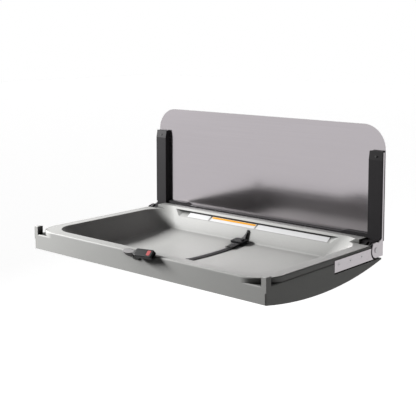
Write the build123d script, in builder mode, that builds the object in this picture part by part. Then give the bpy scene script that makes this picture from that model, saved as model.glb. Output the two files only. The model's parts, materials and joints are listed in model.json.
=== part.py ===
from build123d import *

import os

# Fold-down baby changing station that hangs on a wall: a steel chassis with two
# hinged uprights carries a hollow plastic bed with a dished tray. Millimetres.
# The origin is the centre of the four wall bolts on the wall plane: +X runs along
# the wall, +Y goes into the wall and +Z is up. The bed is drawn open.

os.makedirs("parts", exist_ok=True)

# ---------------------------------------------------------------- driving sizes
width = 889.0  # over the two steel brackets
half = width / 2
deck_z = -130.0  # rim plane of the open bed, below the origin

# chassis on the wall
panel_thick = 1.5
panel_top = 335.0  # heights are given above the rim plane from here on
panel_bottom = 2.0
panel_corner = 72.0
spacer_depth = 4.0
plate_thick = 3.0
upright_in = 401.0  # inner side of each upright
upright_top = 261.0
cover_depth = 10.9
cover_wall = 2.0
bolt_x = 423.0
bolt_heights = (40.0, 220.0)
bolt_hole_r = 4.0

# hinge line
pivot_y = -42.0
pivot_z = -16.0
ear_r = 22.0
pin_r = 5.0
pin_fit = 0.06
stop_y = pivot_y + 21.0
stop_z = pivot_z + 12.6
stop_r = 4.0

# bed
bed_front = -550.0
bed_rear = -13.0
ledge_z = -15.0
belly_low = -82.0  # deepest point of the underside, which is one long arc
belly_mid = -310.0
belly_r = 1290.0
skin = 4.0
floor_low = -67.5  # deepest point of the tray floor, which is a flatter arc
floor_r = 1900.0
floor_fillet = 10.0
mouth_fillet = 4.0
rim_half = 442.0
rim_corner = 75.0
mouth_half = 405.0
mouth_front = -514.0
side_lean = 0.92
front_lean = 0.73
rear_lean = 0.6
rear_wall_y = -52.0  # tray rear wall at the rim plane
ridge_top = 11.0
hook_wide = 15.0  # bag hooks at the two front corners
hook_deep = 20.0
hook_top = 9.0
hook_foot = -30.0  # each hook stands in a corner pocket of the bed
hook_tall = hook_top - hook_foot
notch_in = 400.0
notch_front = -67.5
notch_floor = -43.5
arm_front = -252.5
arm_top = -7.0
arm_bottom = -39.5
arm_in = 436.5
arm_leaf = 440.6
wear_plate_r = 27.0  # plastic plate between arm and ear
leaf_gap_r = 28.0  # the arm's outer leaf stops this far from the hinge pin

# gas spring inside the right-hand rim
spring_x = 423.5
lug = 7.8  # lug pin, below and in front of the pivot by this much
rod_z = pivot_z - 9.4
rod_r = 3.0
cylinder_r = 7.0

# harness
web = 28.0
web_thick = 1.6
strap_x = -5.0

panel_face = -panel_thick
spacer_face = panel_face - spacer_depth
plate_face = spacer_face - plate_thick
flange_face = -12.0  # front edge of the bracket's side flange, above the ear
cover_face = plate_face - 0.1 - cover_depth
flange_in = half - 3.0


# ---------------------------------------------------------------- datum planes
def level(height):
    """Horizontal plane at a height above the rim plane."""
    return Plane.XY.offset(deck_z + height)


def side(x):
    """Plane across the width: local axes are world Y and height above the rim."""
    return Plane(origin=(x, 0, deck_z), x_dir=(0, 1, 0), z_dir=(1, 0, 0))


def front(y):
    """Plane facing the user: local axes are world X and height above the rim."""
    return Plane(origin=(0, y, deck_z), x_dir=(1, 0, 0), z_dir=(0, -1, 0))


across = Plane.YZ
on_top = (Align.CENTER, Align.CENTER, Align.MIN)


def save(piece, label):
    """Label one finished piece and write it."""
    piece.label = label
    export_step(piece, f"parts/{label}.step")


def save_pair(piece, label):
    """Write a right-hand piece and its mirror image on the left."""
    save(piece, f"{label}_right")
    save(mirror(piece, about=across), f"{label}_left")


# ---------------------------------------------------------------- chassis
with BuildPart() as steel_panel:
    with BuildSketch(front(0)) as outline:
        with Locations((0, (panel_top + panel_bottom) / 2)):
            Rectangle(width, panel_top - panel_bottom)
        fillet(outline.vertices().group_by(Axis.Y)[-1], panel_corner)
        fillet(outline.vertices().group_by(Axis.Y)[0], 3)
        with Locations(*[(s * bolt_x, h) for s in (-1, 1) for h in bolt_heights]):
            Circle(bolt_hole_r, mode=Mode.SUBTRACT)
    extrude(amount=panel_thick)
save(steel_panel.part, "steel_panel")

with BuildPart() as spacer:
    with BuildSketch(front(panel_face)):
        with Locations(((upright_in + half) / 2, (panel_bottom + upright_top) / 2)):
            RectangleRounded(half - upright_in, upright_top - panel_bottom, 3)
        with Locations(((upright_in + flange_in) / 2, pivot_z)):
            Rectangle(flange_in - upright_in, 2 * ear_r)
        with Locations(*[(bolt_x, h) for h in bolt_heights]):
            Circle(bolt_hole_r, mode=Mode.SUBTRACT)
    extrude(amount=spacer_depth)
save_pair(spacer.part, "upright_spacer")

ear_hole_x = half - 1.5  # blind end of the stop pin, inside the outer ear
with BuildPart() as bracket:
    with BuildSketch(front(spacer_face)):
        with Locations(((403 + half) / 2, 130)):
            Rectangle(half - 403, 256)
        with Locations(*[(bolt_x, h) for h in bolt_heights]):
            Circle(bolt_hole_r, mode=Mode.SUBTRACT)
        with Locations((bolt_x, 246), (428, 11)):
            Circle(1.5, mode=Mode.SUBTRACT)
    extrude(amount=plate_thick)
    with BuildSketch(side(flange_in)):
        with BuildLine():
            Polyline(
                (pivot_y, pivot_z - ear_r),
                (spacer_face, pivot_z - ear_r),
                (spacer_face, 258),
                (flange_face, 258),
                (flange_face, 12),
                (pivot_y + 10, pivot_z + 17),
                (pivot_y, pivot_z),
                close=True,
            )
        make_face()
        with Locations((pivot_y, pivot_z)):
            Circle(ear_r)
        with Locations((pivot_y, pivot_z)):
            Circle(pin_r, mode=Mode.SUBTRACT)
    extrude(amount=half - flange_in)
    with BuildSketch(side(flange_in)):
        with Locations((stop_y, stop_z)):
            Circle(stop_r)
    extrude(amount=ear_hole_x - flange_in, mode=Mode.SUBTRACT)
save_pair(bracket.part, "bracket")

block_in = 431.8
block_out = 435.6
block_rear = -14.0
with BuildPart() as hinge_block:
    with BuildSketch(side(block_in)):
        with Locations((pivot_y, pivot_z)):
            Circle(20)
        with BuildLine():
            Polyline(
                (pivot_y, pivot_z - 20),
                (block_rear, pivot_z - 20),
                (block_rear, 1),
                (plate_face, 1),
                (plate_face, 20),
                (plate_face - 3, 20),
                (plate_face - 3, 1.8),
                (pivot_y + 8, 1.8),
                (pivot_y, pivot_z),
                close=True,
            )
        make_face()
        with Locations((pivot_y, pivot_z)):
            Circle(pin_r, mode=Mode.SUBTRACT)
        with Locations((stop_y, stop_z)):
            Circle(stop_r, mode=Mode.SUBTRACT)
        with Locations((pivot_y - lug, pivot_z - lug)):
            Circle(2.5, mode=Mode.SUBTRACT)
    extrude(amount=block_out - block_in)
    with BuildSketch(front(plate_face)):
        with Locations(((421 + block_out) / 2, 11.5)):
            Rectangle(block_out - 421, 17)
        with Locations((428, 11)):
            Circle(1.5, mode=Mode.SUBTRACT)
    extrude(amount=3)
save_pair(hinge_block.part, "hinge_block")

cover_side = flange_in - 0.3
cup_out = 431.0
lip_bottom = 13.0  # the lip over the flange stops above the ear
with BuildPart() as cover:
    with BuildSketch(side(upright_in)):
        with BuildLine():
            Polyline(
                (plate_face - 0.1, 2),
                (cover_face, 2),
                (cover_face, 236),
                (cover_face + 4.5, upright_top),
                (plate_face - 0.1, upright_top),
                close=True,
            )
        make_face()
    extrude(amount=cover_side - upright_in)
    with BuildSketch(side(upright_in + cover_wall)):
        with BuildLine():
            Polyline(
                (plate_face, 1),
                (cover_face + cover_wall, 1),
                (cover_face + cover_wall, 235.5),
                (cover_face + cover_wall + 3.6, upright_top - 2.5),
                (plate_face, upright_top - 2.5),
                close=True,
            )
        make_face()
    extrude(amount=cover_side - upright_in - 2 * cover_wall, mode=Mode.SUBTRACT)
    with BuildSketch(side(cover_side)):
        with BuildLine():
            Polyline(
                (flange_face - 0.3, lip_bottom),
                (cover_face, lip_bottom),
                (cover_face, 236),
                (cover_face + 4.5, upright_top),
                (flange_face - 0.3, upright_top),
                close=True,
            )
        make_face()
    extrude(amount=half - cover_side)
    with BuildSketch(side(upright_in)):
        with Locations(((plate_face - 0.1 + spacer_face - 0.1) / 2, 130)):
            Rectangle(plate_thick, 256)
    extrude(amount=403 - 0.2 - upright_in)
    with BuildSketch(side(upright_in)):
        with Locations((pivot_y, pivot_z)):
            Circle(ear_r)
        with Locations(((pivot_y + plate_face - 0.1) / 2, pivot_z)):
            Rectangle(plate_face - 0.1 - pivot_y, 2 * ear_r)
    extrude(amount=cup_out - upright_in)
    with BuildSketch(side(upright_in + cover_wall)):
        with Locations((pivot_y, pivot_z)):
            Circle(ear_r - cover_wall)
        with Locations(((pivot_y + plate_face) / 2 + 1, pivot_z)):
            Rectangle(plate_face - pivot_y + 2, 2 * (ear_r - cover_wall))
    extrude(amount=cup_out - upright_in, mode=Mode.SUBTRACT)
    with BuildSketch(side(spring_x - 4)):
        with Locations((pivot_y - ear_r, pivot_z + ear_r)):
            Rectangle(2 * ear_r, 2 * ear_r)
        with Locations((pivot_y - ear_r, pivot_z - 8.5)):
            Rectangle(2 * ear_r, 23)
    extrude(amount=8, mode=Mode.SUBTRACT)
    with BuildSketch(side(spring_x - 4)):
        with Locations((plate_face - 1.6, pivot_z)):
            Rectangle(3.4, 48)
    extrude(amount=cup_out - spring_x + 4, mode=Mode.SUBTRACT)
    with BuildSketch(level(4.5)):
        with Locations(((upright_in + block_out) / 2, (pivot_y - 3 + plate_face - 3.3) / 2)):
            Rectangle(block_out - upright_in, plate_face - 3.3 - pivot_y + 3)
    extrude(amount=1.5)
    with Locations(Plane(origin=(bolt_x, cover_face, deck_z + 246), z_dir=(0, -1, 0))):
        CounterSinkHole(1.5, 3.2)
save_pair(cover.part, "upright_cover")

rail_in = upright_in - 0.5
with BuildPart() as cross_rail:
    with BuildSketch(front(panel_face)):
        with BuildLine():
            Polyline(
                (-rail_in, 4),
                (rail_in, 4),
                (rail_in, 19),
                (318, 19),
                (300, 13),
                (-300, 13),
                (-318, 19),
                (-rail_in, 19),
                close=True,
            )
        make_face()
        with Locations(*[(x, 9) for x in (-360, -180, 0, 180, 360)]):
            Circle(2, mode=Mode.SUBTRACT)
    extrude(amount=11)
    front_edges = cross_rail.edges().filter_by(Axis.X).group_by(Axis.Y)[0]
    chamfer(front_edges.sort_by(Axis.Z)[0], 2)
save(cross_rail.part, "cross_rail")

with BuildPart() as rail_screws:
    for x in (-360, -180, 0, 180, 360):
        with BuildSketch(front(panel_face - 11)):
            with Locations((x, 9)):
                Circle(3.4)
        extrude(amount=1.6)
        with BuildSketch(front(panel_face)):
            with Locations((x, 9)):
                Circle(2)
        extrude(amount=11.2)
save(rail_screws.part, "rail_screws")


# ---------------------------------------------------------------- hinge hardware
def rods(segments):
    """Coaxial discs along X: (x from, x to, radius), given as one turned piece."""
    with BuildPart() as turned:
        for start, end, radius in segments:
            with BuildSketch(Plane.YZ.offset(start)):
                Circle(radius)
            extrude(amount=end - start)
    return turned.part


def both_sides(piece):
    """One node with a right-hand piece and its mirror image."""
    return Compound(children=[piece, mirror(piece, about=across)])


pin_end = 429.9
hinge_pin = Pos(0, pivot_y, deck_z + pivot_z) * rods(
    [(pin_end, half, pin_r), (half, half + 2.2, 7.5)]
)
save_pair(hinge_pin, "hinge_pin")


def ring(start, end, outer, inner):
    """Flat ring on the hinge line, in both hinges."""
    with BuildPart() as washer:
        with BuildSketch(side(start)):
            with Locations((pivot_y, pivot_z)):
                Circle(outer)
                Circle(inner, mode=Mode.SUBTRACT)
        extrude(amount=end - start)
    return [washer.part, mirror(washer.part, about=across)]


save(Compound(children=ring(430.6, 431.7, 8, pin_r)), "hinge_clips")

with BuildPart() as wear_plate:
    with BuildSketch(side(arm_leaf + 0.1)):
        with Locations((pivot_y, pivot_z)):
            Circle(wear_plate_r)
        with Locations((pivot_y, (pivot_z - ear_r + 3) / 2)):
            Rectangle(2 * wear_plate_r, 3 - pivot_z + ear_r, mode=Mode.INTERSECT)
        with Locations((pivot_y, pivot_z)):
            Circle(pin_r, mode=Mode.SUBTRACT)
        with Locations((stop_y, stop_z)):
            Circle(stop_r, mode=Mode.SUBTRACT)
    extrude(amount=flange_in - arm_leaf - 0.2)
washers = ring(block_out + 0.1, arm_in - 0.1, 9, pin_r)
washers += [wear_plate.part, mirror(wear_plate.part, about=across)]
save(Compound(children=washers), "hinge_washers")

stop_pin = Pos(0, stop_y, deck_z + stop_z) * rods([(block_in, ear_hole_x, stop_r)])
save(both_sides(stop_pin), "stop_pins")


with BuildPart() as cover_screws:
    with BuildSketch(front(cover_face)):
        with Locations((bolt_x, 246)):
            Circle(3.1)
    extrude(amount=-1.6, taper=43)
    with BuildSketch(front(cover_face)):
        with Locations((bolt_x, 246)):
            Circle(1.4)
    extrude(amount=cover_face - spacer_face)
save(both_sides(cover_screws.part), "cover_screws")

with BuildPart() as block_screws:
    with BuildSketch(front(plate_face - 3)):
        with Locations((428, 11)):
            Circle(2.8)
    extrude(amount=1.2)
    with BuildSketch(front(plate_face - 3)):
        with Locations((428, 11)):
            Circle(1.5)
    extrude(amount=-5.8)
save(both_sides(block_screws.part), "hinge_block_screws")


# ---------------------------------------------------------------- bed
def dish(y, low, radius):
    """Height of a long arc that is deepest half way along the bed."""
    return low + radius - (radius**2 - (y - belly_mid) ** 2) ** 0.5


def belly(y):
    """Height of the underside at a distance from the wall."""
    return dish(y, belly_low, belly_r)


def dish_profile(low, radius, y_front, y_rear, top):
    """Side outline bounded below by a long arc."""
    front_point = (y_front, dish(y_front, low, radius))
    rear_point = (y_rear, dish(y_rear, low, radius))
    Polyline(rear_point, (y_rear, top), (y_front, top), front_point)
    ThreePointArc(front_point, (belly_mid, low), rear_point)


def belly_profile(lift, y_front, y_rear, top):
    """Side outline bounded below by the curved underside, raised by lift."""
    dish_profile(belly_low + lift, belly_r, y_front, y_rear, top)


def basin(grow):
    """Dished space of the tray, grown outwards by grow."""
    top, bottom = 12.0, -75.0
    with BuildPart() as space:
        for height, corner in ((top, 74.0), (bottom, 58.0)):
            y_front = mouth_front - front_lean * height - 1.25 * grow
            y_rear = rear_wall_y + rear_lean * height + 4.4 * grow
            with BuildSketch(level(height)):
                with Locations((0, (y_front + y_rear) / 2)):
                    RectangleRounded(
                        2 * (mouth_half + side_lean * height + 1.4 * grow),
                        y_rear - y_front,
                        corner,
                    )
        loft()
        with BuildSketch(side(-half)):
            with BuildLine():
                dish_profile(floor_low - grow, floor_r, bed_front, bed_rear, 40)
            make_face()
        extrude(amount=width, mode=Mode.INTERSECT)
        floor = space.faces().sort_by(Axis.Z)[0]
        fillet(floor.edges(), floor_fillet - grow)
    return space.part


def rim_outline(inset):
    """Outline of the raised rim: square at the wall, well rounded at the front."""
    with Locations((0, (bed_front + bed_rear) / 2)):
        outline = Rectangle(2 * (rim_half - inset), bed_rear - bed_front - 2 * inset)
    fillet(outline.vertices().group_by(Axis.Y)[0], rim_corner - inset)


boss_spots = [(x, y) for x in (-285, -95, 95, 285) for y in (-430, -290, -150)]
with BuildPart() as bosses:
    with BuildSketch(level(-95)):
        with Locations(*boss_spots):
            Circle(6)
    extrude(amount=40)
    with BuildSketch(side(-half)):
        with BuildLine():
            belly_profile(3.2, bed_front, bed_rear, 0)
        make_face()
    extrude(amount=width, mode=Mode.INTERSECT)

with BuildPart() as hollow:
    with BuildSketch(side(-half + skin)):
        with BuildLine():
            belly_profile(-1, bed_front + skin, bed_rear - skin, ledge_z - skin)
        make_face()
    extrude(amount=width - 2 * skin)
    with BuildSketch(level(-60)):
        rim_outline(skin)
    extrude(amount=60 - skin)
    for s in (-1, 1):
        with BuildSketch(level(notch_floor - skin)):
            with Locations((s * (notch_in - skin + 50), notch_front - skin + 50)):
                Rectangle(100, 100)
            with Locations((s * (arm_in - skin + 50), arm_front - skin - 1 + 200)):
                Rectangle(100, 400)
        extrude(amount=80, mode=Mode.SUBTRACT)
    add(basin(skin), mode=Mode.SUBTRACT)
    add(bosses.part, mode=Mode.SUBTRACT)

# shallow pocket for the labels: level with the rear wall below, deeper towards the top
rear_wall = Plane(
    origin=(0, rear_wall_y - 6.5 * rear_lean, deck_z - 6.5),
    x_dir=(1, 0, 0),
    z_dir=Vector(0, -1, rear_lean),
)
pocket_top = 12.5
pocket_low = -11.0
pocket_depth = 11.0
pocket_edge = 0.5
pocket_mouth = [(-324, pocket_top), (324, pocket_top), (300, pocket_low), (-300, pocket_low)]
pocket_inner = pocket_top - pocket_edge
pocket_back = [(-292, pocket_top), (292, pocket_top), (292, pocket_inner), (-292, pocket_inner)]
with BuildPart() as label_pocket:
    with BuildSketch(rear_wall):
        Polygon(*pocket_mouth, align=None)
    with BuildSketch(rear_wall.offset(-pocket_depth)):
        Polygon(*pocket_back, align=None)
    loft()
    with BuildSketch(rear_wall):
        Polygon(*pocket_mouth, align=None)
    extrude(amount=3)
facet_low = rear_wall.from_local_coords((0, pocket_low, 0))
facet_top = rear_wall.from_local_coords((0, pocket_inner, -pocket_depth))
facet = Plane(
    origin=(facet_low + facet_top) / 2,
    x_dir=(1, 0, 0),
    z_dir=Vector(1, 0, 0).cross(facet_top - facet_low),
)
screw_ys = (-232.5, -175.5, -118.5)
spring_eye_y = -243.0
stiffener_xs = (-300, -100, 100, 300)
with BuildPart() as bed_tray:
    with BuildSketch(side(-half)):
        with BuildLine():
            belly_profile(0, bed_front, bed_rear, ledge_z)
        make_face()
    extrude(amount=width)
    fillet(bed_tray.edges().filter_by(Axis.Z).group_by(Axis.Y)[0], 4)
    fillet(bed_tray.faces().sort_by(Axis.Z)[-1].edges().group_by(Axis.Y)[:-1], 3)
    with BuildSketch(level(-40)):
        rim_outline(0)
    extrude(amount=40)
    fillet(bed_tray.faces().sort_by(Axis.Z)[-1].edges().group_by(Axis.Y)[:-1], 4)
    with BuildSketch(side(1 - notch_in)):
        with BuildLine():
            Polyline((-60, -30), (bed_rear, -30), (bed_rear, 1))
            RadiusArc((bed_rear, 1), (bed_rear - 10, ridge_top), -10)
            Line((bed_rear - 10, ridge_top), (-60, ridge_top))
            Line((-60, ridge_top), (-60, -30))
        make_face()
    extrude(amount=2 * (notch_in - 1))
    for s in (-1, 1):
        with BuildSketch(level(notch_floor)):
            with Locations((s * (notch_in + 50), notch_front + 50)):
                Rectangle(100, 100)
            with Locations((s * (arm_in + 50), arm_front - 1 + 100)):
                Rectangle(100, 200)
        extrude(amount=notch_floor * -1 + arm_top + 1.5, mode=Mode.SUBTRACT)
        with BuildSketch(level(-10)):
            with Locations((s * (notch_in + 50), notch_front + 50)):
                Rectangle(100, 100)
        extrude(amount=30, mode=Mode.SUBTRACT)
    add(basin(0), mode=Mode.SUBTRACT)
    add(hollow.part, mode=Mode.SUBTRACT)
    add(label_pocket.part, mode=Mode.SUBTRACT)
    for x, y in boss_spots:
        with Locations((x, y, deck_z + belly(y) + 8.5)):
            Cylinder(1.6, 12, align=(Align.CENTER, Align.CENTER, Align.MAX), mode=Mode.SUBTRACT)
    with BuildSketch(side(arm_in - skin - 1)):
        with Locations(*[(y, -19.5) for y in screw_ys]):
            Circle(2.5)
        with Locations((spring_eye_y, rod_z)):
            Circle(2.5)
    extrude(amount=skin + 2, mode=Mode.SUBTRACT)
    with BuildSketch(side(-arm_in - 1)):
        with Locations(*[(y, -19.5) for y in screw_ys]):
            Circle(2.5)
    extrude(amount=skin + 2, mode=Mode.SUBTRACT)
    with BuildSketch(front(notch_front + 1)):
        with Locations((spring_x, rod_z)):
            Circle(rod_r + 1)
    extrude(amount=skin + 2, mode=Mode.SUBTRACT)
    with BuildSketch(front(bed_rear + 1)):
        with Locations(*[(x, -34) for x in stiffener_xs]):
            Circle(2)
    extrude(amount=skin + 2, mode=Mode.SUBTRACT)
    for s in (-1, 1):
        with Locations((s * (half - hook_wide / 2), bed_front + hook_deep / 2, deck_z + hook_foot)):
            Box(hook_wide, hook_deep, hook_tall, align=on_top, mode=Mode.SUBTRACT)
    mouth = bed_tray.edges().filter_by(GeomType.BSPLINE).filter_by(Plane.XY)
    fillet(mouth.filter_by_position(Axis.Z, deck_z - 0.05, deck_z + 0.05), mouth_fillet)
save(bed_tray.part, "bed_tray")

with BuildPart() as bag_hook:
    with Locations((half - hook_wide / 2, bed_front + hook_deep / 2, deck_z + hook_foot)):
        Box(hook_wide, hook_deep, hook_tall, align=on_top)
    fillet(bag_hook.edges().group_by(Axis.Z)[-1], 1.5)
save_pair(bag_hook.part, "bag_hook")

with BuildPart() as bed_bottom:
    with BuildSketch(side(-half + skin + 0.3)):
        with BuildLine():
            belly_profile(0, bed_front + skin + 0.3, bed_rear - skin - 0.3, 0)
        make_face()
        with BuildLine():
            belly_profile(3, bed_front, bed_rear, 20)
        make_face(mode=Mode.SUBTRACT)
    extrude(amount=width - 2 * skin - 0.6)
    for x, y in boss_spots:
        with Locations((x, y, deck_z + belly(y))):
            Cylinder(1.6, 12, mode=Mode.SUBTRACT)
    for s in (-1, 1):
        with BuildSketch(level(notch_floor - skin - 0.2)):
            with Locations((s * (notch_in - skin + 50), notch_front - skin + 50)):
                Rectangle(101, 101)
        extrude(amount=skin, mode=Mode.SUBTRACT)
save(bed_bottom.part, "bed_bottom")

with BuildPart() as bottom_screws:
    for x, y in boss_spots:
        with Locations((x, y, deck_z + belly(y) + 8)):
            Cylinder(1.55, 8.5, align=(Align.CENTER, Align.CENTER, Align.MAX))
        with Locations((x, y, deck_z + belly(y) - 0.5)):
            Cylinder(3.6, 1.8, align=(Align.CENTER, Align.CENTER, Align.MAX))
save(bottom_screws.part, "bottom_screws")

with BuildPart() as bed_stiffener:
    with BuildSketch(side(4 - notch_in + skin)):
        with Locations((bed_rear - skin - 8.1, -34)):
            Rectangle(16, 16)
            Rectangle(12, 12, mode=Mode.SUBTRACT)
    extrude(amount=2 * (notch_in - skin - 4))
    with BuildSketch(front(bed_rear)):
        with Locations(*[(x, -34) for x in stiffener_xs]):
            Circle(1.95)
    extrude(amount=skin + 3, mode=Mode.SUBTRACT)
save(bed_stiffener.part, "bed_stiffener")

with BuildPart() as stiffener_screws:
    with BuildSketch(front(bed_rear)):
        with Locations(*[(x, -34) for x in stiffener_xs]):
            Circle(4.2)
    extrude(amount=-1.6)
    with BuildSketch(front(bed_rear)):
        with Locations(*[(x, -34) for x in stiffener_xs]):
            Circle(1.95)
    extrude(amount=skin + 5)
save(stiffener_screws.part, "stiffener_screws")

# ---------------------------------------------------------------- hinge arms
with BuildPart() as hinge_arm:
    with BuildSketch(side(arm_in)):
        with Locations(((arm_front + pivot_y) / 2 + 1, (arm_top + arm_bottom) / 2)):
            Rectangle(pivot_y - arm_front - 2, arm_top - arm_bottom - 3)
        with Locations((pivot_y, pivot_z)):
            Circle(20)
        with Locations((pivot_y + 14, pivot_z + 1.2)):
            Rectangle(28, 14.4)
        with Locations((pivot_y, pivot_z)):
            Circle(pin_r + pin_fit, mode=Mode.SUBTRACT)
    extrude(amount=arm_leaf - arm_in)
    with BuildSketch(side(arm_leaf)):
        with Locations(((arm_front - 46) / 2, (arm_top + arm_bottom) / 2)):
            Rectangle(-46 - arm_front, arm_top - arm_bottom)
        with Locations((pivot_y, pivot_z)):
            Circle(leaf_gap_r, mode=Mode.SUBTRACT)
    extrude(amount=half - arm_leaf)
    with Locations(*[Plane(origin=(half, y, deck_z - 19.5), z_dir=(1, 0, 0)) for y in screw_ys]):
        CounterSinkHole(2.6, 5.2)
save_pair(hinge_arm.part, "hinge_arm")

arm_screw = []
for y in screw_ys:
    with BuildPart() as screw:
        with BuildSketch(side(half)):
            with Locations((y, -19.5)):
                Circle(4.9)
        extrude(amount=-2.5, taper=45)
        with BuildSketch(side(half)):
            with Locations((y, -19.5)):
                Circle(2.5)
        extrude(amount=arm_in - skin - half + 0.2)
        with BuildSketch(side(half)):
            with Locations((y, -19.5)):
                RegularPolygon(1.9, 6)
        extrude(amount=-1.6, mode=Mode.SUBTRACT)
    arm_screw += [screw.part, mirror(screw.part, about=across)]
save(Compound(children=arm_screw), "arm_screws")

# ---------------------------------------------------------------- gas spring
cylinder_back = -92.0
cylinder_front = -235.0
with BuildPart() as gas_spring_cylinder:
    with BuildSketch(Plane(origin=(spring_x, cylinder_front, deck_z + rod_z), z_dir=(0, 1, 0))):
        Circle(cylinder_r)
    extrude(amount=cylinder_back - cylinder_front)
    with BuildSketch(Plane(origin=(spring_x, cylinder_front + 5, deck_z + rod_z), z_dir=(0, 1, 0))):
        Circle(cylinder_r - 1.5)
    extrude(amount=cylinder_back - cylinder_front - 15, mode=Mode.SUBTRACT)
    with BuildSketch(Plane(origin=(spring_x, cylinder_back, deck_z + rod_z), z_dir=(0, 1, 0))):
        Circle(rod_r + 0.05)
    extrude(amount=-20, mode=Mode.SUBTRACT)
    with BuildSketch(side(spring_x - 3)):
        with Locations((spring_eye_y, rod_z)):
            Circle(6)
        with Locations((spring_eye_y + 6, rod_z)):
            Rectangle(8, 8)
        with Locations((spring_eye_y, rod_z)):
            Circle(2.5, mode=Mode.SUBTRACT)
    extrude(amount=6)
save(gas_spring_cylinder.part, "gas_spring_cylinder")

save(Pos(0, spring_eye_y, deck_z + rod_z) * rods([(417, arm_in - 0.1, 2.5), (415.5, 417, 4.5)]), "gas_spring_pin")
save(
    Pos(0, pivot_y - lug, deck_z + pivot_z - lug) * rods([(420.2, block_out, 2.5), (419.4, 420.2, 4)]),
    "spring_lug_pin",
)

piston_y = -152.0
eye_y = pivot_y - lug
eye_top = pivot_z - lug
eye_low = pivot_z - lug * 2**0.5
with BuildPart() as gas_spring_rod:
    with BuildSketch(side(spring_x - 3)):
        with Locations((eye_y, (eye_top + eye_low) / 2)):
            SlotCenterToCenter(eye_top - eye_low, 12.4, rotation=90)
    extrude(amount=6)
    with BuildSketch(Plane(origin=(spring_x, piston_y, deck_z + rod_z), z_dir=(0, 1, 0))):
        Circle(rod_r)
    extrude(amount=eye_y - 5 - piston_y)
    with BuildSketch(Plane(origin=(spring_x, piston_y, deck_z + rod_z), z_dir=(0, 1, 0))):
        Circle(cylinder_r - 1.6)
    extrude(amount=8)
    with BuildSketch(side(spring_x - 3)):
        with Locations((eye_y, (eye_top + eye_low) / 2)):
            SlotCenterToCenter(eye_top - eye_low, 6.4, rotation=90)
    extrude(amount=6, mode=Mode.SUBTRACT)
save(gas_spring_rod.part, "gas_spring_rod")

# ---------------------------------------------------------------- blank labels
label_h = 19.5
band_h = 7.0
for label, x0, x1 in (("left", -264, -173), ("middle", -165, 17), ("right", 23, 290)):
    with BuildPart() as plate:
        with BuildSketch(facet):
            with Locations(((x0 + x1) / 2, 0)):
                RectangleRounded(x1 - x0, label_h, 1.5)
        extrude(amount=0.5)
    save(plate.part, f"label_{label}")
with BuildPart() as label_band:
    with BuildSketch(facet.offset(0.5)):
        with Locations((-74, (label_h - band_h) / 2 - 1)):
            Rectangle(178, band_h)
    extrude(amount=0.2)
save(label_band.part, "label_band")


# ---------------------------------------------------------------- harness
def floor_at(y, lift):
    """Point on the tray floor, raised by lift, in the side view."""
    return (y, dish(y, floor_low, floor_r) + lift)


def webbing(x, points, radii):
    """Flat webbing that follows a path in the side view."""
    with BuildPart() as band:
        with BuildSketch(side(x - web / 2)):
            with BuildLine():
                FilletPolyline(*points, radius=radii)
            trace(line_width=web_thick)
        extrude(amount=web)
    return band.part


def wall_at(height, lift):
    """Point in front of the tray's rear wall, in the side view."""
    return (rear_wall_y + height * rear_lean - lift, height)


path = [wall_at(-24.5, 4), wall_at(-50, 4), floor_at(-125, 4.2), floor_at(-165, 4.2)]
save(webbing(strap_x, path, [6.0, 200.0]), "rear_strap")
tail = [floor_at(y, 1.4) for y in (-124, -190, -260, -328)]
save(webbing(strap_x - 2, tail, 400.0), "strap_tail")

with BuildPart() as strap_anchor:
    with BuildSketch(rear_wall):
        with Locations((1.5, -18.5)):
            RectangleRounded(9, 6, 2)
    extrude(amount=2)
save(strap_anchor.part, "strap_anchor")

adjuster_y = -105.0
lean = (adjuster_y - belly_mid) / floor_r
adjuster_plane = Plane(
    origin=(strap_x + 2, adjuster_y, deck_z + floor_at(adjuster_y, 6.0)[1]),
    x_dir=(1, 0, 0),
    z_dir=Vector(0, -lean, 1),
)
with BuildPart() as strap_adjuster:
    with BuildSketch(adjuster_plane):
        RectangleRounded(46, 34, 5)
        with Locations((0, -8), (0, 8)):
            RectangleRounded(31, 5, 1.5, mode=Mode.SUBTRACT)
    extrude(amount=6)
save(strap_adjuster.part, "strap_adjuster")

rim_edge = Plane(
    origin=(37, bed_front - 0.9, deck_z - 2.2),
    x_dir=Vector(1, 0.06, 0.06),
    z_dir=(0, -1, 1),
)
buckle_x, buckle_y, buckle_h = 64.0, 24.0, 12.8
buckle_gap = 0.4  # between the buckle and the rim edge
slot_x, slot_y, slot_h = 25.0, 18.0, 6.2  # slot for the tongue, in the right-hand end
slot_floor = 1.8
button_x, button_y, button_h = 12.0, 15.0, 3.0
button_travel = 1.5
button_at = 18.0
pocket_floor = slot_floor + slot_h + 0.7
outwards = Axis((0, 0, 0), (0, -1, 1))
with BuildPart() as buckle_body:
    with BuildSketch(rim_edge.offset(buckle_gap)):
        RectangleRounded(buckle_x, buckle_y, 6)
    extrude(amount=buckle_h)
    fillet(buckle_body.faces().sort_by(outwards)[-1].edges(), 2.5)
    with BuildSketch(rim_edge.offset(pocket_floor)):
        with Locations((button_at, 0)):
            RectangleRounded(button_x + 0.6, button_y + 0.6, 2.8)
    extrude(amount=buckle_h, mode=Mode.SUBTRACT)
    with BuildSketch(rim_edge.offset(slot_floor)):
        with Locations((buckle_x / 2, 0)):
            Rectangle(2 * slot_x, slot_y)
    extrude(amount=slot_h, mode=Mode.SUBTRACT)
save(buckle_body.part, "buckle_body")

button_base = pocket_floor + 0.3 + button_travel
with BuildPart() as buckle_button:
    with BuildSketch(rim_edge.offset(button_base)):
        with Locations((button_at, 0)):
            RectangleRounded(button_x, button_y, 2.5)
    extrude(amount=button_h)
    with BuildSketch(rim_edge.offset(button_base)):
        with Locations((button_at, 0)):
            Circle(5)
    extrude(amount=1.6, mode=Mode.SUBTRACT)
save(buckle_button.part, "buckle_button")

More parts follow.
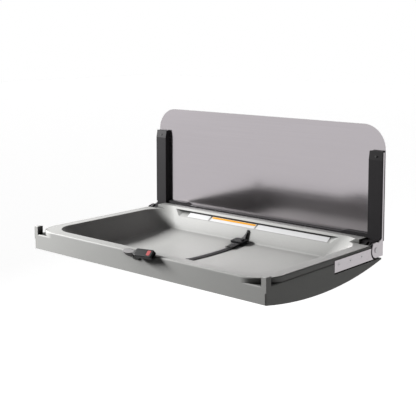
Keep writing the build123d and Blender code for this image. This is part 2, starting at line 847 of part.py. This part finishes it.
coil = 0.4
with BuildPart() as buckle_spring:
    for turn in range(4):
        with BuildSketch(rim_edge.offset(pocket_floor + coil * turn)):
            with Locations((button_at, 0)):
                Circle(4.5 - 0.5 * turn)
                Circle(3.2 - 0.5 * turn, mode=Mode.SUBTRACT)
        extrude(amount=coil)
save(buckle_spring.part, "buckle_spring")

cap_x, cap_y = -63.0, 4.7  # centre of the oval cap in the plane of the rim edge
cap_half_x, cap_half_y = 23.0, 8.0
cap_out = 5.4
with BuildPart() as strap_cap:
    with BuildSketch(rim_edge):
        with Locations((cap_x, cap_y)):
            Ellipse(cap_half_x, cap_half_y)
    extrude(amount=-12)
    with BuildSketch(rim_edge):
        with Locations((cap_x, cap_y)):
            Ellipse(cap_half_x, cap_half_y)
    extrude(amount=cap_out)
    fillet(strap_cap.faces().sort_by(outwards)[-1].edges(), 2.2)
    with BuildSketch(side(-half)):
        with BuildLine():
            Polyline((bed_front, 0.2), (-400, 0.2), (-400, -60), (bed_front - 0.2, -60), close=True)
        make_face()
    extrude(amount=width, mode=Mode.SUBTRACT)
save(strap_cap.part, "strap_cap")

strap_join = -buckle_x / 2 - 0.2
with BuildPart() as front_strap:
    with BuildSketch(rim_edge.offset(cap_out - web_thick)):
        with Locations((strap_join - 5.4, 3)):
            Rectangle(10.8, 14)
        with Locations((cap_x, cap_y)):
            Ellipse(cap_half_x + 0.2, cap_half_y + 0.2, mode=Mode.SUBTRACT)
    extrude(amount=web_thick)
save(front_strap.part, "front_strap")

with BuildPart() as strap_end:
    with BuildSketch(front(bed_front - 0.6)):
        with Locations((0.5, -12.5)):
            RectangleRounded(27, 13, 1.5)
    extrude(amount=web_thick)
    with BuildSketch(rim_edge.offset(-14)):
        with Locations((cap_x, cap_y)):
            Ellipse(cap_half_x + 0.3, cap_half_y + 0.3)
    extrude(amount=14 + cap_out, mode=Mode.SUBTRACT)
save(strap_end.part, "strap_end")
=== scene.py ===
import json
import math

import bpy
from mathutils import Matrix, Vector


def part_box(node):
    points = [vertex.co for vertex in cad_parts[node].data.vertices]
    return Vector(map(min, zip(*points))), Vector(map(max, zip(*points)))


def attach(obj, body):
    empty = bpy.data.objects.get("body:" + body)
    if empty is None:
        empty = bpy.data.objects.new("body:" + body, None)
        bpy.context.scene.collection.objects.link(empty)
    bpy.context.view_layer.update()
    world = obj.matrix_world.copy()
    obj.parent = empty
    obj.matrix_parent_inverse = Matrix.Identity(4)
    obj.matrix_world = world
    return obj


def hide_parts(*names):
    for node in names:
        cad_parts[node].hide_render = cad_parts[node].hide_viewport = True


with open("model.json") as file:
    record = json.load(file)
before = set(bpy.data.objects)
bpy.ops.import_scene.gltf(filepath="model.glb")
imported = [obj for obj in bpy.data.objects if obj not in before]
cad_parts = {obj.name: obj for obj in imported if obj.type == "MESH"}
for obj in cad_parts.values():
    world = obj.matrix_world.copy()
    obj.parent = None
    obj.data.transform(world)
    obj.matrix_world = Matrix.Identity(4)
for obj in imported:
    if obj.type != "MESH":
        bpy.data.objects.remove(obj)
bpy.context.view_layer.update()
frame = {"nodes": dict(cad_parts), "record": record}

# Looks of the wall-mounted baby changing station. All sizes are in metres in the CAD
# frame: origin at the centre of the wall bolts, -Y towards the user, +Z up.

nodes = frame["nodes"]


# ------------------------------------------------------------------ materials
class Shader:
    """A principled material with helpers for procedural detail."""

    def __init__(self, name, color, roughness, metallic=0.0, **sockets):
        self.mat = bpy.data.materials.new(name)
        self.mat.use_nodes = True
        self.tree = self.mat.node_tree
        self.bsdf = self.tree.nodes["Principled BSDF"]
        self.bsdf.inputs["Base Color"].default_value = (*color, 1.0)
        self.bsdf.inputs["Roughness"].default_value = roughness
        self.bsdf.inputs["Metallic"].default_value = metallic
        for socket, value in sockets.items():
            self.bsdf.inputs[socket.replace("_", " ")].default_value = value
        self.place = self.node("ShaderNodeTexCoord").outputs["Object"]
        self.color = color
        self.height = None

    def node(self, kind, **inputs):
        made = self.tree.nodes.new(kind)
        for socket, value in inputs.items():
            made.inputs[socket].default_value = value
        return made

    def link(self, source, target):
        self.tree.links.new(source, target)

    def noise(self, scale, stretch=(1, 1, 1), detail=3.0, rough=0.55):
        """Noise of a given grain, stretched along the axes; scale is cells per metre."""
        mapping = self.node("ShaderNodeMapping", Scale=[scale * s for s in stretch])
        grain = self.node("ShaderNodeTexNoise", Scale=1.0, Detail=detail, Roughness=rough)
        self.link(self.place, mapping.inputs["Vector"])
        self.link(mapping.outputs["Vector"], grain.inputs["Vector"])
        return grain.outputs["Fac"]

    def remap(self, value, low, high, start=0.3, end=0.7):
        """value from start..end to low..high."""
        ramp = self.node("ShaderNodeMapRange")
        for socket, number in zip(
            ("From Min", "From Max", "To Min", "To Max"), (start, end, low, high)
        ):
            ramp.inputs[socket].default_value = number
        self.link(value, ramp.inputs["Value"])
        return ramp.outputs["Result"]

    def shade(self, value, dark, light, start=0.3, end=0.7):
        """Multiply what the base colour is so far by dark..light."""
        factor = self.remap(value, dark, light, start, end)
        scaled = self.node("ShaderNodeMix")
        scaled.data_type = "RGBA"
        scaled.blend_type = "MULTIPLY"
        scaled.inputs["Factor"].default_value = 1.0
        source = self.bsdf.inputs["Base Color"]
        if source.is_linked:
            self.link(source.links[0].from_socket, scaled.inputs["A"])
        else:
            scaled.inputs["A"].default_value = source.default_value
        self.link(factor, scaled.inputs["B"])
        self.link(scaled.outputs["Result"], source)

    def rough(self, value, low, high, start=0.3, end=0.7):
        self.link(self.remap(value, low, high, start, end), self.bsdf.inputs["Roughness"])

    def painted_crease_shade(self, reach, dark):
        """Darken the base colour in hollows within reach: painted shade in creases and corners,
        from an occlusion node.
        """
        crease_occlusion = self.node("ShaderNodeAmbientOcclusion", Distance=reach)
        crease_occlusion.samples = 8
        self.shade(crease_occlusion.outputs["AO"], dark, 1.0, 0.45, 0.97)

    def bump(self, value, depth):
        """Add a relief of a given depth in metres."""
        bump = self.node("ShaderNodeBump", Strength=1.0, Distance=depth)
        if self.height:
            self.link(self.height, bump.inputs["Normal"])
        self.link(value, bump.inputs["Height"])
        self.height = bump.outputs["Normal"]
        self.link(self.height, self.bsdf.inputs["Normal"])


def granite_plastic():
    """Moulded bed plastic: painted shade in its creases and hollows, fine stipple, faint speckle
    and slow tone changes.
    """
    s = Shader("granite_plastic", (0.37, 0.37, 0.36), 0.55, Specular_IOR_Level=0.08)
    # painted shade: base colour darkened in creases and corners, at a long and a short reach
    s.painted_crease_shade(0.16, 0.3)
    s.painted_crease_shade(0.055, 0.45)
    stipple = s.noise(900, detail=2.0)
    s.shade(stipple, 0.93, 1.05)
    s.shade(s.noise(5, detail=3.0), 0.97, 1.03)
    s.rough(s.noise(300, detail=2.0), 0.42, 0.56)
    s.bump(stipple, 0.00012)
    s.bump(s.noise(240, detail=2.0), 0.0001)
    return s.mat


def panel_steel():
    """Stainless sheet, brushed along the wall."""
    s = Shader("panel_steel", (0.465, 0.437, 0.457), 0.13, 1.0)
    grain = s.noise(1.0, (4, 900, 900), detail=3.0)
    s.shade(grain, 0.985, 1.012)
    s.shade(s.noise(7, (0.4, 1, 1)), 0.99, 1.01)
    s.rough(grain, 0.11, 0.15)
    s.bump(grain, 0.000004)
    return s.mat


def bracket_steel():
    """Plated bracket steel with a fine mottle."""
    s = Shader("bracket_steel", (0.475, 0.447, 0.465), 0.34, 1.0)
    s.shade(s.noise(260, detail=4.0), 0.95, 1.04)
    s.rough(s.noise(90), 0.3, 0.4)
    s.bump(s.noise(700, detail=3.0), 0.00001)
    return s.mat


def zinc_steel():
    s = Shader("zinc_steel", (0.45, 0.44, 0.45), 0.34, 1.0)
    s.shade(s.noise(400), 0.9, 1.08)
    s.rough(s.noise(200), 0.28, 0.42)
    return s.mat


def black_metal():
    s = Shader("black_metal", (0.02, 0.02, 0.02), 0.42, 0.3)
    s.shade(s.noise(300), 0.8, 1.3)
    s.bump(s.noise(900), 0.00004)
    return s.mat


def black_plastic():
    """Textured covers, charcoal, with a fine leather grain."""
    s = Shader("black_plastic", (0.018, 0.017, 0.018), 0.5, Specular_IOR_Level=0.06)
    grain = s.noise(650, detail=4.0)
    s.shade(grain, 0.85, 1.2)
    s.shade(s.noise(9), 0.93, 1.07)
    s.rough(grain, 0.44, 0.58)
    s.bump(grain, 0.00008)
    return s.mat


def black_gloss():
    s = Shader("black_gloss", (0.006, 0.006, 0.007), 0.34, Specular_IOR_Level=0.12)
    s.rough(s.noise(350), 0.28, 0.42)
    s.bump(s.noise(500), 0.00004)
    return s.mat


def cap_grey():
    s = Shader("cap_grey", (0.045, 0.040, 0.042), 0.6)
    grain = s.noise(700, detail=3.0)
    s.shade(grain, 0.7, 1.5)
    s.bump(grain, 0.00015)
    return s.mat


def red_plastic():
    s = Shader("red_plastic", (0.32, 0.008, 0.010), 0.3)
    s.shade(s.noise(120), 0.9, 1.1)
    s.rough(s.noise(400), 0.25, 0.38)
    return s.mat


def vinyl(name, color):
    """Printed label vinyl: smooth, with a faint orange peel."""
    s = Shader(name, color, 0.35, Specular_IOR_Level=0.4)
    s.shade(s.noise(40), 0.98, 1.01)
    s.rough(s.noise(300), 0.3, 0.42)
    s.bump(s.noise(260), 0.00003)
    return s.mat


def webbing(name, color, sheen):
    """Polyester webbing: a herringbone of yarns, laid out along each ribbon."""
    s = Shader(name, color, 0.6, Specular_IOR_Level=0.15, Sheen_Weight=sheen)
    s.bsdf.inputs["Sheen Roughness"].default_value = 0.4
    layout = s.node("ShaderNodeAttribute")
    layout.attribute_name = "weave"
    s.place = layout.outputs["Vector"]
    yarn = s.node("ShaderNodeTexWave", Scale=1.0, Distortion=0.5, Detail=1.0)
    yarn.bands_direction = "DIAGONAL"
    mapping = s.node("ShaderNodeMapping", Scale=[320, 160, 1])
    s.link(s.place, mapping.inputs["Vector"])
    s.link(mapping.outputs["Vector"], yarn.inputs["Vector"])
    s.shade(yarn.outputs["Fac"], 0.7, 1.5, 0.0, 1.0)
    s.shade(s.noise(1400), 0.8, 1.25)
    s.bump(yarn.outputs["Fac"], 0.0002)
    return s.mat


MATERIALS = {
    "granite_plastic": granite_plastic(),
    "stainless": panel_steel(),
    "bracket_steel": bracket_steel(),
    "zinc_steel": zinc_steel(),
    "black_metal": black_metal(),
    "black_plastic": black_plastic(),
    "black_gloss": black_gloss(),
    "cap_grey": cap_grey(),
    "red_plastic": red_plastic(),
    "label_white": vinyl("label_white", (0.53, 0.53, 0.535)),
    "label_amber": vinyl("label_amber", (0.62, 0.28, 0.010)),
    "webbing": webbing("webbing", (0.010, 0.0095, 0.010), 0.04),
    # lighter grey copy of the webbing: a painted sheen for the lit side of the loose end, and
    # also the stitch thread colour
    "webbing_sheen_and_thread": webbing("webbing_sheen_and_thread", (0.075, 0.073, 0.074), 0.5),
}


def dress(obj, slot_name):
    """Give an object one material of the set."""
    obj.data.materials.clear()
    obj.data.materials.append(MATERIALS[slot_name])


for part in frame["record"]["subparts"]:
    dress(nodes[part["node"]], part["material_slot"])


# ------------------------------------------------------------------ harness
DECK = -130.0  # rim plane of the open bed, in millimetres
FLOOR_LOW, FLOOR_R, FLOOR_MID = -67.5, 1900.0, -310.0  # arc of the tray floor: height, radius, y
WEB_THICK = 1.5
WEB_WIDE = 28.0
EDGE_POWER = 8  # the higher, the squarer the two edges of the webbing


def at(x, y, height):
    """A point in metres from millimetres, with its height given above the rim plane."""
    return Vector((x, y, DECK + height)) / 1000


def floor_height(y):
    """Height of the tray floor above the rim plane (negative), along the middle of the bed."""
    return FLOOR_LOW + FLOOR_R - math.sqrt(FLOOR_R**2 - (y - FLOOR_MID) ** 2)


def add_mesh(name, verts, faces, slot_name):
    """A smooth-shaded mesh object that rides on the bed."""
    mesh = bpy.data.meshes.new(name)
    mesh.from_pydata(verts, [], faces)
    mesh.shade_smooth()
    made = bpy.data.objects.new(name, mesh)
    bpy.context.scene.collection.objects.link(made)
    dress(made, slot_name)
    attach(made, "bed")
    return made


def smooth_rows(rows, steps=5):
    """Rows of numbers joined by a Catmull-Rom spline, steps to each interval."""
    ends = [rows[0]] + list(rows) + [rows[-1]]
    out = []
    for a, b, c, d in zip(ends, ends[1:], ends[2:], ends[3:]):
        for step in range(steps):
            t = step / steps
            weights = (
                (-t + 2 * t**2 - t**3) / 2,
                (2 - 5 * t**2 + 3 * t**3) / 2,
                (t + 4 * t**2 - 3 * t**3) / 2,
                (-(t**2) + t**3) / 2,
            )
            out.append([sum(w * v for w, v in zip(weights, col)) for col in zip(a, b, c, d)])
    return out + [list(rows[-1])]


def ribbon(name, rows, crest=0.0, split=None, facing=(0, 0, 1)):
    """Webbing along rows of (x, y, height, width); crest folds it along its middle.

    With split, the part of the ribbon to the left of that fraction is given a lighter grey, a
    painted sheen on its lit side.
    Its flat side faces roughly along facing.
    """
    rows = smooth_rows(rows)
    spots = [at(*row[:3]) for row in rows]
    spread = [-1, -0.93, -0.75, -0.5, -0.25, 0, 0.25, 0.5, 0.75, 0.93, 1]
    ring = 2 * len(spread) - 2  # vertices around the webbing: upper side, then lower side back
    verts, faces, weave, along = [], [], [], 0.0
    for i, (spot, row) in enumerate(zip(spots, rows)):
        run = spots[min(i + 1, len(spots) - 1)] - spots[max(i - 1, 0)]
        side = run.cross(Vector(facing)).normalized()
        out = side.cross(run).normalized()
        along += (spot - spots[max(i - 1, 0)]).length
        half = row[3] / 2000
        for u in spread + spread[-2:0:-1]:
            upper = 1 if len(verts) % ring <= ring // 2 else -1
            thick = WEB_THICK / 2000 * math.sqrt(max(0.0, 1 - u**EDGE_POWER))
            rise = crest / 1000 * (1 - abs(u)) + upper * thick
            verts.append(spot - side * half * u + out * rise)
            weave.append((half * u, along, 0.0))
    for i in range(len(rows) - 1):
        for k in range(ring):
            a, b = i * ring + k, i * ring + (k + 1) % ring
            faces.append((a, b, b + ring, a + ring))
    last = (len(rows) - 1) * ring
    for base, flip in ((0, False), (last, True)):
        for k in range(len(spread) - 1):
            low, low_next = (ring - k) % ring, ring - k - 1
            corners = [base + k, base + low, base + low_next, base + k + 1]
            corners = list(dict.fromkeys(corners))
            faces.append(corners[::-1] if flip else corners)
    made = add_mesh(name, verts, faces, "webbing")
    layout = made.data.attributes.new("weave", "FLOAT_VECTOR", "POINT")
    layout.data.foreach_set("vector", [number for spot in weave for number in spot])
    # painted sheen: faces left of the split take the lighter grey webbing copy
    if split is not None:
        made.data.materials.append(MATERIALS["webbing_sheen_and_thread"])
        for face in made.data.polygons[: ring * (len(rows) - 1)]:
            across = face.index % ring
            across = across if across < ring // 2 else ring - 1 - across
            if (across + 0.5) / (ring / 2) < split:
                face.material_index = 1
    return made


def stitches(name, lines, pitch=3.2):
    """Thread stitches as small oval beads along straight lines between two points."""
    bead = ((-1.2, 0.08), (-0.8, 0.3), (0.0, 0.38), (0.8, 0.3), (1.2, 0.08))  # place, radius
    around = 6
    flat = 0.7  # height of a bead over its width
    verts, faces = [], []
    for start, end in lines:
        start, end = at(*start), at(*end)
        run = end - start
        count = max(1, round(run.length * 1000 / pitch))
        run.normalize()
        side = run.cross(Vector((0, 0, 1))).normalized()
        out = side.cross(run).normalized()
        for i in range(count):
            middle = start.lerp(end, (i + 0.5) / count)
            base = len(verts)
            for reach, girth in bead:
                for k in range(around):
                    turn = math.pi * k / (around / 2)
                    offset = side * math.cos(turn) + out * math.sin(turn) * flat
                    verts.append(middle + (run * reach + offset * girth) / 1000)
            for ring in range(len(bead) - 1):
                for k in range(around):
                    a = base + ring * around + k
                    b = base + ring * around + (k + 1) % around
                    faces.append((a, b, b + around, a + around))
            last = base + (len(bead) - 1) * around
            faces.append(tuple(base + k for k in reversed(range(around))))
            faces.append(tuple(last + k for k in range(around)))
    made = add_mesh(name, verts, faces, "webbing_sheen_and_thread")
    layout = made.data.attributes.new("weave", "FLOAT_VECTOR", "POINT")
    layout.data.foreach_set("vector", [number for vert in verts for number in vert])
    return made


def on_floor(x, y, lift, wide=WEB_WIDE):
    """A ribbon row that lies lift above the tray floor."""
    return (x, y, floor_height(y) + lift, wide)


def build_harness():
    """The stored safety strap: wall loop, slider, doubled part and loose end."""
    riser = [
        (2, -69.5, -21, 4),
        (1, -72.5, -27, 8),
        (-1, -76.5, -33.5, 12),
        (-3, -80.5, -40, 17),
        (-4, -84, -46, 22),
        (-4, -89, -50.5, 26),
    ]
    under = [on_floor(x, y, 3.6) for x, y in ((-3.5, -97), (-2, -111), (0, -127), (1.5, -146))]
    lower = ribbon("strap_riser", riser + under + [on_floor(1.5, -163, 3.0)], crest=0.8)
    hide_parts("rear_strap")
    ribbon(
        "strap_doubled",
        [on_floor(x, y, lift) for x, y, lift in (
            (-1.5, -119, 5.4), (0, -128, 6.2), (1, -142, 5.8), (1.5, -155, 5.6), (1.5, -164, 7.4),
        )],
        crest=0.6,
    )
    ribbon(
        "strap_loop",
        [on_floor(-2, y, lift) for y, lift in (
            (-119, 5.2), (-114.5, 8.0), (-112, 12.6), (-108, 14.6), (-104, 15.0),
            (-100, 14.4), (-97.5, 12.0), (-96, 7.0), (-93, 5.2),
        )],
    )
    tail = [
        on_floor(x, y, lift, 29)
        for x, y, lift in (
            (0.5, -150, 1.2), (-1.5, -177, 1.3), (-4.5, -215, 1.0), (-8, -256, 1.0),
            (-11.5, -292, 1.0), (-14, -327, 1.2),
        )
    ]
    # the left part of the loose end gets the painted sheen
    loose = ribbon("strap_loose_end", tail, crest=2.6, split=0.55)
    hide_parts("strap_tail")
    seam_lift = 7.4
    seam = [
        (x, y, floor_height(y) + seam_lift)
        for x, y in ((-9, -129), (11, -129), (11, -149), (-9, -149))
    ]
    lines = list(zip(seam, seam[1:] + seam[:1])) + [(seam[0], seam[2]), (seam[1], seam[3])]
    stitches("strap_stitches", lines)


def build_front_webbing():
    """Short strap from the oval cap to the buckle, and its folded end below the rim."""
    low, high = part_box("front_strap")
    middle = [(a + b) * 500 for a, b in zip(low, high)]
    x, y, height = middle[0], middle[1], middle[2] - DECK
    link = ribbon(
        "strap_link",
        [(x - 7, y, height, 14), (x - 2, y - 0.7, height + 0.7, 14), (x + 5.5, y, height, 14)],
        facing=(0, -1, 1),
    )
    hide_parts("front_strap")
    low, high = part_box("strap_end")
    x, top, bottom = 500 * (low[0] + high[0]), high[2] * 1000 - DECK, low[2] * 1000 - DECK
    y, wide = low[1] * 1000 + 0.8, 1000 * (high[0] - low[0])
    fold = ribbon(
        "strap_fold",
        [
            (x, y + 0.1, top, wide),
            (x, y - 0.2, (top + bottom) / 2, wide),
            (x, y - 0.4, bottom + 1.5, wide),
            (x, y - 0.3, bottom, wide),
        ],
        facing=(0, -1, 0),
    )
    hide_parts("strap_end")


# ------------------------------------------------------------------ stage
def build_stage():
    """A plain white floor well below the station. It glows a little and lights nothing."""
    mesh = bpy.data.meshes.new("floor")
    reach, height = 30.0, -1.6
    corners = [(-reach, -reach), (reach, -reach), (reach, reach), (-reach, reach)]
    mesh.from_pydata([(x, y, height) for x, y in corners], [], [(0, 1, 2, 3)])
    floor = bpy.data.objects.new("floor", mesh)
    bpy.context.scene.collection.objects.link(floor)
    paint = Shader("floor_paint", (0.93, 0.93, 0.93), 0.9, Emission_Strength=0.9)
    paint.bsdf.inputs["Emission Color"].default_value = (1.0, 1.0, 1.0, 1.0)
    paint.shade(paint.noise(2.0), 0.99, 1.0)
    mesh.materials.append(paint.mat)
    floor.visible_diffuse = False
    floor.visible_glossy = False


def area_light(name, azimuth, elevation, distance, size, power):
    """A rectangular softbox, aimed at the bed; azimuth 0 is the user's side, -90 the left."""
    turn, rise = math.radians(azimuth), math.radians(elevation)
    aim = Vector((0, -0.28, -0.05))
    away = Vector(
        (math.sin(turn) * math.cos(rise), -math.cos(turn) * math.cos(rise), math.sin(rise))
    )
    data = bpy.data.lights.new(name, "AREA")
    data.shape = "RECTANGLE"
    data.size, data.size_y = size
    data.energy = power
    lamp = bpy.data.objects.new(name, data)
    bpy.context.scene.collection.objects.link(lamp)
    lamp.location = aim + away * distance
    lamp.rotation_euler = away.to_track_quat("Z", "Y").to_euler()
    return lamp


def build_light():
    """A softbox at the front left and a weak one low on the right, in a dim white world.

    The camera and reflections see the world at full white; it lights surfaces only a little.
    """
    ambient, seen_white = 0.032, 1.0
    world = bpy.data.worlds.new("studio")
    bpy.context.scene.world = world
    world.use_nodes = True
    tree = world.node_tree
    tree.nodes["Background"].inputs["Color"].default_value = (1.0, 1.0, 1.0, 1.0)
    seen = tree.nodes.new("ShaderNodeLightPath")
    level = tree.nodes.new("ShaderNodeMapRange")
    level.inputs["To Min"].default_value = ambient
    level.inputs["To Max"].default_value = seen_white
    either = tree.nodes.new("ShaderNodeMath")
    either.operation = "MAXIMUM"
    tree.links.new(seen.outputs["Is Camera Ray"], either.inputs[0])
    tree.links.new(seen.outputs["Is Glossy Ray"], either.inputs[1])
    tree.links.new(either.outputs["Value"], level.inputs["Value"])
    tree.links.new(level.outputs["Result"], tree.nodes["Background"].inputs["Strength"])
    area_light("key", azimuth=-68, elevation=18.5, distance=2.7, size=(0.7, 0.5), power=240)
    area_light("side", azimuth=80, elevation=-22, distance=3.0, size=(1.5, 1.0), power=9)


def build_camera():
    """Front right, slightly above the rim and nearly level; the shift does the framing."""
    data = bpy.data.cameras.new("camera")
    data.sensor_width = 36.0
    data.lens = 78.005
    data.shift_y = -0.20
    camera = bpy.data.objects.new("camera", data)
    bpy.context.scene.collection.objects.link(camera)
    heading, tilt = 41.31, 5.83
    camera.location = (1.7343, -2.2287, 0.4642)
    camera.rotation_euler = (math.radians(90 - tilt), 0, math.radians(heading))
    bpy.context.scene.camera = camera


build_harness()
build_front_webbing()
build_camera()
build_stage()
build_light()
bpy.context.scene.view_settings.view_transform = "Standard"
